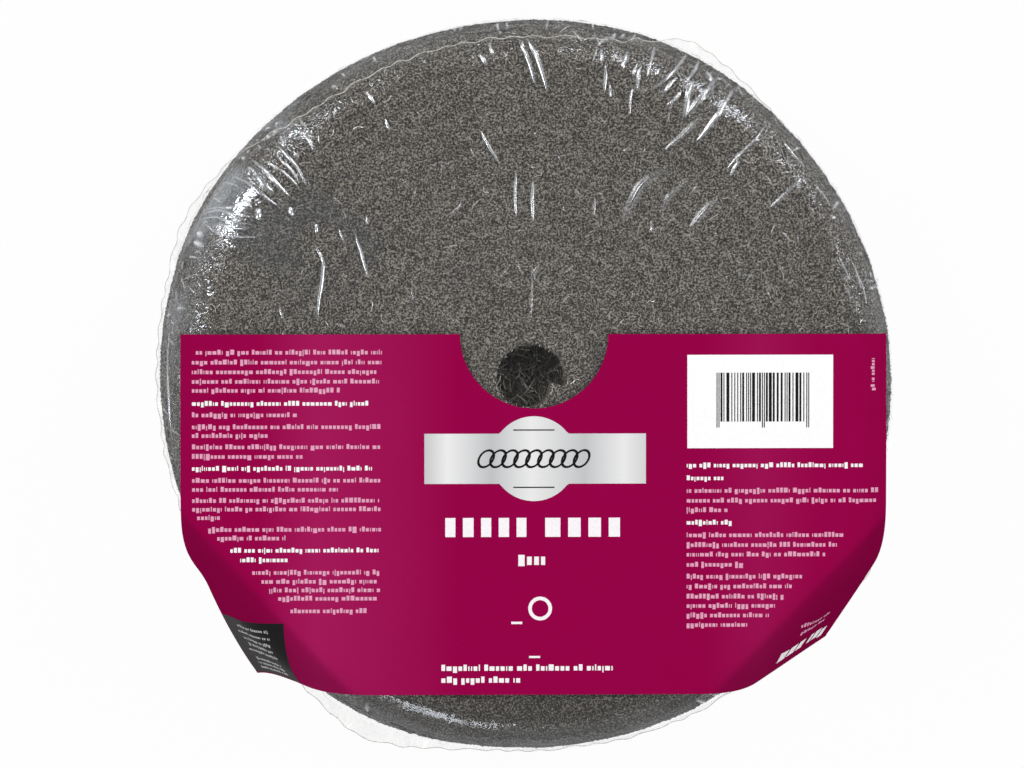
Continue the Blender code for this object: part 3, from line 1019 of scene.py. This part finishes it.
def labelFinish():
    finish = Finish("label_paper", Metallic=0.0, SpecularIORLevel=0.0)
    where = finish.place()
    across = finish.add("SeparateXYZ", None, {0: where}, "X")
    glow = finish.add("ValToRGB", {"stops": greys(label["glow"])}, {0: across / 0.24 + 0.5})
    fibre = finish.noise(where, 900, 3)
    shade = finish.noise(where, 35, 2)
    colour = finish.mix(fibre * 0.2, finish.mix(shade, *label["plain"]), label["fibre"])
    colour = finish.mix(glow * 0.45, colour, label["lit"])
    colour = finish.mix(finish.attribute("folded") * 0.45, colour, label["shade"])
    finish.drive("BaseColor", colour)
    finish.drive("Roughness", 0.42 + fibre * 0.16)
    finish.bump(fibre * 0.5 + shade, 0.12, label["relief"])
    return finish.material


def flatLabel():
    # the flat sheet, cut into cells that are fine where it bends
    left, right, top, bottom = -label["left"], label["right"], label["top"], -label["bottom"]
    middle, radius = label["notchX"], label["notchRadius"]
    outline = [(middle - radius, top), (left, top), (left, bottom), (right, bottom), (right, top)]
    for step in range(label["notchSteps"]):
        angle = -math.pi * step / label["notchSteps"]
        outline.append((middle + radius * math.cos(angle), top + radius * math.sin(angle)))
    mesh = bmesh.new()
    mesh.faces.new([mesh.verts.new((x, y, 0)) for x, y in outline])
    start, slope = label["fold"]
    cuts = []
    for step in range(label["foldSteps"] + 1):
        reach = faceRadius + start + foldRadius * slope * step / label["foldSteps"]
        cuts.append((label["foldWay"], reach))
    count, cell = label["wrapCells"]
    for step in range(count):
        cuts += [(way, low + step * cell) for way, low in label["wrapStarts"]]
    count, cell = label["cells"]
    for step in range(-count, count + 1):
        cuts += [(way, step * cell) for way in (0.0, math.pi / 2)]
    count, cell = label["edgeCells"]
    for step in range(count):
        cuts += [(way, faceRadius + step * cell) for way in (0.0, math.pi)]
    for direction, reach in cuts:
        way = Vector((math.cos(direction), math.sin(direction), 0))
        everything = mesh.verts[:] + mesh.edges[:] + mesh.faces[:]
        bmesh.ops.bisect_plane(mesh, geom=everything, plane_co=way * reach, plane_no=way)
    bmesh.ops.triangulate(mesh, faces=mesh.faces)
    return mesh


def buildLabel():
    mesh = flatLabel()
    flat = np.array([vert.co[:] for vert in mesh.verts])
    faces = [[vert.index for vert in face.verts] for face in mesh.faces]
    mesh.free()
    points = labelSurface(flat, 0.0)
    piece = addPiece("paper_label", points, faces, labelFinish())
    beyond = [
        flat[:, 0] * math.cos(way) + flat[:, 1] * math.sin(way) - reach
        for way, reach in label["shaded"]
    ]
    addValues(piece, "folded", smoothStep(np.max(beyond, 0), *label["shadeEdge"]))
    thick = piece.modifiers.new("thickness", "SOLIDIFY")
    thick.thickness = label["thickness"]
    thick.offset = 0.0
    piece.modifiers.new("edges", "EDGE_SPLIT").split_angle = math.radians(35)
    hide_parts("label")


# The print is plain shapes: rows of small blocks for type, a silver plate, bars, a dark field
printing = {
    "lift": 0.00020,  # above the middle of the sheet
    "layer": 0.00004,
    "cell": 0.0035,
    "foldCell": 0.0010,
    # in mm from here on
    "typeHeight": 2.1,
    "largeType": (1.3, -90),  # scale of the rows below this height
    "letterWidths": (0.16, 0.40, 0.46, 0.5, 0.62),  # as shares of the type's height
    "letterChances": (0.2, 0.25, 0.3, 0.15, 0.1),
    # first and second colour, and roughness
    "inks": {
        "type_ink": (rgb(206, 128, 164), rgb(232, 178, 202), 0.5),
        "white_ink": (rgb(232, 226, 230), rgb(250, 247, 249), 0.5),
        "box_ink": (rgb(240, 239, 240), rgb(252, 252, 252), 0.5),
        "dark_ink": (rgb(14, 13, 14), rgb(30, 28, 30), 0.55),
        "pale_ink": (rgb(150, 148, 150), rgb(196, 194, 196), 0.5),
    },
    # rows of type: left end, right end, middle, and 1 for bold
    "rows": (
        (-112.1, -49.9, 11.7, 0), (-113.4, -49.9, 8.4, 0), (-113.4, -49.9, 5.2, 0),
        (-113.4, -49.9, 2.0, 0), (-113.4, -63.2, -1.0, 0), (-113.4, -54.5, -5.4, 1),
        (-113.4, -78.0, -9.2, 0), (-113.4, -49.9, -13.2, 0), (-113.4, -87.3, -16.1, 0),
        (-113.4, -49.9, -19.9, 0), (-113.4, -76.3, -23.1, 0), (-113.4, -52.2, -27.1, 1),
        (-113.4, -49.9, -31.1, 0), (-113.4, -63.9, -34.1, 0), (-113.4, -49.9, -37.8, 0),
        (-113.4, -49.9, -40.7, 0), (-111.8, -102.7, -43.5, 0), (-108.1, -49.9, -47.5, 0),
        (-105.1, -81.3, -50.4, 0), (-100.7, -49.9, -54.5, 1), (-97.4, -79.6, -57.7, 1),
        (-93.4, -49.9, -61.9, 0), (-90.3, -49.9, -64.9, 0), (-87.7, -49.9, -67.8, 0),
        (-84.7, -50.5, -70.6, 0), (-80.6, -54.5, -74.8, 0), (52.2, 111.8, -26.3, 1),
        (52.2, 65.2, -30.6, 1), (52.2, 116.8, -34.8, 0), (52.2, 116.8, -38.1, 0),
        (52.2, 66.6, -41.3, 0), (52.2, 67.3, -45.5, 1), (52.2, 106.1, -49.7, 0),
        (52.2, 102.7, -53.0, 0), (52.2, 99.7, -56.2, 0), (52.2, 71.3, -59.6, 0),
        (52.2, 92.3, -63.6, 0), (52.2, 89.3, -66.9, 0), (52.2, 86.0, -70.3, 0),
        (52.2, 83.0, -73.4, 0), (52.2, 80.0, -76.6, 0), (52.2, 73.9, -79.8, 0),
        (-30.1, 28.1, -94.1, 1), (-30.1, -2.0, -98.1, 1), (92.0, 108.0, -81.5, 0),
        (93.0, 106.0, -84.8, 0),
    ),
    # large blocks: bottom and top, then their left and right ends
    "blocks": (
        (-50.2, -43.8, -28.8, -25.4, -22.9, -19.3, -16.8, -13.4, -10.9, -7.4, -4.9, -1.6,
         4.7, 9.8, 12.4, 16.6, 19.2, 23.4, 26.0, 29.8),
        (-60.0, -56.2, -4.3, -2.2),
        (-59.6, -56.8, -1.4, 0.2, 1.0, 2.6, 3.3, 4.7),
        (-90.8, -90.1, -0.7, 3.0),
        (-79.4, -78.6, -6.7, -3.0),
        (-97.0, -91.8, 86.5, 91.0, 92.0, 96.2, 97.2, 100.6, 103.6, 105.4, 106.4, 109.8),
        (-98.6, -93.2, 110.8, 113.6),
    ),
    # middle, width, height, thickness and steps of a ring, and its lean to the right
    "ring": (3.0, -74.2, 8.0, 8.0, 1.2, 32, 0.0),
    "box": (52.4, 101.4, -20.6, 10.7),
    "bars": (62.2, 93.7, -11.7, 4.7),
    "modules": 95,
    "guard": -13.7,
    "field": (-116.6, -83.0, -102.6, -79.0),
    "fieldRows": (-82.0, -84.6, -87.2, -89.8, -92.4, -96.2, -98.2, -100.2),
    "fieldType": 1.5,
    "side": (-1.3, 10.7, 115.1),  # a row that reads upwards: its two ends and its place across
    "sideType": 1.7,
    # the silver plate: its ends, a band's half height, and a round middle
    "plate": (-35.8, 38.5),
    "plateHalf": 8.4,
    "plateMiddle": (0.9, -24.0),
    "plateRadius": 14.2,
    "plateColumns": 96,
    "silver": (
        (0.0, (0.62, 0.62, 0.63)), (0.10, (0.92, 0.92, 0.92)), (0.30, (0.56, 0.57, 0.58)),
        (0.48, (0.90, 0.90, 0.90)), (0.72, (0.58, 0.59, 0.60)), (0.90, (0.90, 0.90, 0.90)),
        (1.0, (0.70, 0.70, 0.71)),
    ),
    # its motif: the turns of a coil of wire, the way from one to the next, and two rules
    "coil": (-15.1, -24.0, 5.6, 6.4, 0.75, 26, 0.35),
    "coilTurns": 9,
    "coilPitch": 4.0,
    "rules": ((-6.0, 7.8, -14.6, -14.2), (-6.0, 7.8, -33.8, -33.4)),
}


def subdivided(corners):
    # a grid over four corners, fine where the sheet may bend
    isBent = max(np.hypot(x, y) for x, y in corners) > faceRadius - 0.001
    cell = printing["foldCell"] if isBent else printing["cell"]
    a, b, c, d = np.array(corners, float)
    columns = max(1, int(math.ceil(np.linalg.norm(b - a) / cell))) + 1
    rows = max(1, int(math.ceil(np.linalg.norm(d - a) / cell))) + 1
    u = np.linspace(0, 1, columns)[None, :, None]
    v = np.linspace(0, 1, rows)[:, None, None]
    points = (a * (1 - u) + b * u) * (1 - v) + (d * (1 - u) + c * u) * v
    return points.reshape(-1, 2), gridFaces(rows, columns, False)


def rectangle(left, right, bottom, top):
    return [(left, bottom), (right, bottom), (right, top), (left, top)]


def inkPiece(name, shapes, layer, finish):
    flat, faces = joined([subdivided(np.array(corners) * 0.001) for corners in shapes])
    points = labelSurface(flat, printing["lift"] + layer * printing["layer"])
    return addPiece(name, points, faces[:, ::-1], finish)


def typeBlocks(left, right, middle, height, rng):
    # words of small blocks, all in mm
    blocks = []
    x = left
    while x < right - height * 0.3:
        for _ in range(rng.integers(2, 10)):
            width = height * rng.choice(printing["letterWidths"], p=printing["letterChances"])
            top = middle + height * (0.42 if rng.random() < 0.25 else 0.2)
            bottom = middle - height * (0.58 if rng.random() < 0.12 else 0.34)
            if x + width > right:
                break
            blocks.append(rectangle(x, x + width, bottom, top))
            x += width + height * 0.17
        x += height * 0.36
    return blocks


def ringBlocks(x, y, across, high, thick, steps, lean):
    # an oval ring in mm
    shapes = []
    for step in range(steps):
        corners = []
        for share, scale in ((step, 1), (step + 1, 1), (step + 1, 0), (step, 0)):
            angle = roundTurn * share / steps
            wide = across / 2 - (1 - scale) * thick
            tall = high / 2 - (1 - scale) * thick
            up = tall * math.sin(angle)
            corners.append((x + wide * math.cos(angle) + lean * up, y + up))
        shapes.append(corners)
    return shapes


def inkFinish(name, first, second, roughness):
    finish = Finish(name, Metallic=0.0, SpecularIORLevel=0.1)
    grain = finish.noise(finish.place(), 1200, 2)
    finish.drive("BaseColor", finish.mix(grain, first, second))
    finish.drive("Roughness", roughness + (grain - 0.5) * 0.15)
    return finish.material


def silverFinish():
    finish = Finish("silver_ink", SpecularIORLevel=0.3, Metallic=0.25)
    where = finish.place()
    across = finish.add("SeparateXYZ", None, {0: where}, "X")
    share = (across + 0.0355) / 0.074
    sheen = finish.add("ValToRGB", {"stops": printing["silver"]}, {0: share})
    grain = finish.noise(where, 1500, 2)
    finish.drive("BaseColor", finish.mix(grain * 0.15, sheen, rgb(190, 190, 192)))
    finish.drive("Roughness", 0.4 + grain * 0.15)
    return finish.material


def barBlocks(rng):
    # bars of chance widths, with thin, longer guard bars at both ends and in the middle
    left, right, low, high = printing["bars"]
    module = (right - left) / printing["modules"]
    bars = []
    x = left
    while x < right - module:
        width = module * rng.choice([1, 1, 2, 3])
        isGuard = x < left + 3 * module or x > right - 4 * module
        isGuard = isGuard or abs(x - (left + right) / 2) < 2 * module
        width = module if isGuard else min(width, right - x)
        bars.append(rectangle(x, x + width, printing["guard"] if isGuard else low, high))
        x += width + module * (1 if isGuard else rng.choice([1, 1, 2, 2]))
    return bars


def plateBlocks():
    # a band with a round middle, in columns from left to right
    x, y = printing["plateMiddle"]
    edges = np.linspace(*printing["plate"], printing["plateColumns"])
    bulge = np.sqrt(np.maximum(0, printing["plateRadius"] ** 2 - (edges - x) ** 2))
    high = np.maximum(printing["plateHalf"], bulge)
    columns = zip(edges[:-1], edges[1:], high[:-1], high[1:])
    return [[(a, y - c), (b, y - d), (b, y + d), (a, y + c)] for a, b, c, d in columns]


def buildPrint():
    rng = np.random.default_rng(81)
    inks = {name: inkFinish(name, *looks) for name, looks in printing["inks"].items()}
    plain, bold = [], []
    largeScale, largeBelow = printing["largeType"]
    for left, right, middle, isBold in printing["rows"]:
        height = printing["typeHeight"] * (largeScale if middle < largeBelow else 1.0)
        (bold if isBold else plain).extend(typeBlocks(left, right, middle, height, rng))
    start, stop, x = printing["side"]
    for corners in typeBlocks(start, stop, 0, printing["sideType"], rng):
        (left, low), (right, up) = corners[0], corners[2]
        plain.append(rectangle(x + low, x + up, left, right))
    for low, high, *ends in printing["blocks"]:
        bold += [rectangle(*pair, low, high) for pair in zip(ends[::2], ends[1::2])]
    bold += ringBlocks(*printing["ring"])
    inkPiece("label_type", plain, 0, inks["type_ink"])
    inkPiece("label_bold", bold, 0, inks["white_ink"])
    inkPiece("label_box", [rectangle(*printing["box"])], 0, inks["box_ink"])
    inkPiece("label_bars", barBlocks(rng), 1, inks["dark_ink"])
    inkPiece("label_plate", plateBlocks(), 0, silverFinish())
    x, *form = printing["coil"]
    motif = []
    for turn in range(printing["coilTurns"]):
        motif += ringBlocks(x + turn * printing["coilPitch"], *form)
    motif += [rectangle(*rule) for rule in printing["rules"]]
    inkPiece("label_motif", motif, 1, inks["dark_ink"])
    inkPiece("label_field", [rectangle(*printing["field"])], 0, inks["dark_ink"])
    rows = []
    for middle in printing["fieldRows"]:
        inset = 2.0 + 3.5 * rng.random()
        left, right = printing["field"][0] + 6 + inset, printing["field"][1] - 4 - inset * 0.4
        rows += typeBlocks(left, right, middle, printing["fieldType"], rng)
    inkPiece("label_rows", rows, 1, inks["pale_ink"])


# Stage, lights and camera

studio = {
    "floorSize": 6.0,
    "floorWhite": 0.80,
    "whiteShare": 0.965,
    "darkUnder": (0.10, 0.11),  # the floor is dark under the roll, so the core stays dark
    # height above the horizon as a sine, and grey
    "sky": ((0.0, 0.64), (0.30, 0.62), (0.60, 0.47), (0.85, 0.24), (1.0, 0.14)),
    # place, size, watts
    "softboxes": (
        ((-0.90, 0.80, 1.40), 0.50, 10.5),
        ((0.80, 0.95, 1.30), 0.50, 9.5),
        ((-0.28, -1.20, 1.15), 0.40, 3.2),
        ((-1.35, -0.35, 1.00), 0.35, 4.5),
        ((1.40, -0.20, 1.00), 0.35, 4.5),
    ),
}
view = {
    "lean": (-math.tan(math.radians(3.3)), math.tan(math.radians(1.6)), 1.0),
    "target": (-0.0064, 0.0010, 0.0989),
    "distance": 3.0,
    "lens": 315.2,
}


def buildStage():
    half = studio["floorSize"] / 2
    corners = [(-half, -half, 0), (half, -half, 0), (half, half, 0), (-half, half, 0)]
    mesh = bpy.data.meshes.new("floor")
    mesh.from_pydata(corners, [], [(0, 1, 2, 3)])
    floor = bpy.data.objects.new("floor", mesh)
    bpy.context.scene.collection.objects.link(floor)
    white = studio["floorWhite"]
    finish = Finish("white_floor", Roughness=0.9, SpecularIORLevel=0.0)
    finish.drive("BaseColor", (white, white, white, 1.0))
    # plain white to the camera and to mirror and glass rays, a lit grey to all others
    rays = finish.add("LightPath", output="Is Camera Ray")
    rays = rays + finish.add("LightPath", output="Is Glossy Ray")
    rays = rays + finish.add("LightPath", output="Is Transmission Ray")
    fromAxis = finish.add("VectorMath", {"operation": "LENGTH"}, {0: finish.place()}, "Value")
    share = rays * finish.between(fromAxis, *studio["darkUnder"]) * studio["whiteShare"]
    lit = Wire(finish, finish.shader.outputs[0])
    seen = finish.add("Emission", None, {"Color": (1, 1, 1, 1), "Strength": 1.0})
    both = finish.add("MixShader", None, {0: share, 1: lit, 2: seen})
    finish.plug(finish.tree.nodes["Material Output"].inputs["Surface"], both)
    mesh.materials.append(finish.material)
    world = bpy.data.worlds.new("studio")
    world.use_nodes = True
    bpy.context.scene.world = world
    sky = Nodes(world.node_tree)
    where = sky.add("TexCoord", output="Generated")
    up = sky.add("SeparateXYZ", None, {0: where}, "Z")
    grey = sky.add("ValToRGB", {"stops": greys(studio["sky"])}, {0: up})
    sky.plug(sky.tree.nodes["Background"].inputs["Color"], grey)


def buildLights():
    for number, (place, size, watts) in enumerate(studio["softboxes"]):
        lamp = bpy.data.lights.new(f"softbox_{number}", "AREA")
        lamp.shape = "SQUARE"
        lamp.size = size
        lamp.energy = watts
        box = bpy.data.objects.new(f"softbox_{number}", lamp)
        box.location = place
        box.rotation_euler = (-Vector(place)).to_track_quat("-Z", "Y").to_euler()
        bpy.context.scene.collection.objects.link(box)


def buildCamera():
    lens = bpy.data.cameras.new("camera")
    lens.lens = view["lens"]
    lens.sensor_width = 36.0
    lens.clip_end = 20.0
    camera = bpy.data.objects.new("camera", lens)
    back = Vector(view["lean"]).normalized()
    right = Vector((0, 1, 0)).cross(back).normalized()
    up = back.cross(right)
    turn = Matrix((right, up, back)).transposed().to_4x4()
    place = Vector(view["target"]) + back * view["distance"]
    camera.matrix_world = Matrix.Translation(place) @ turn
    bpy.context.scene.collection.objects.link(camera)
    bpy.context.scene.camera = camera


print("stage, lights and camera")
buildStage()
buildLights()
buildCamera()
print("steel wool")
buildWoolBody()
strand = fibreFinish()
for seed, fibreSet in enumerate(woolFibres["sets"], woolFibres["firstSeed"]):
    buildFibres(*fibreSet, seed, strand)
buildCoreStrands(strand)
print("film")
buildFilm()
buildCreases()
buildSeam()
print("label")
buildLabel()
buildPrint()

bpy.context.scene.view_settings.view_transform = "Standard"
print("done")
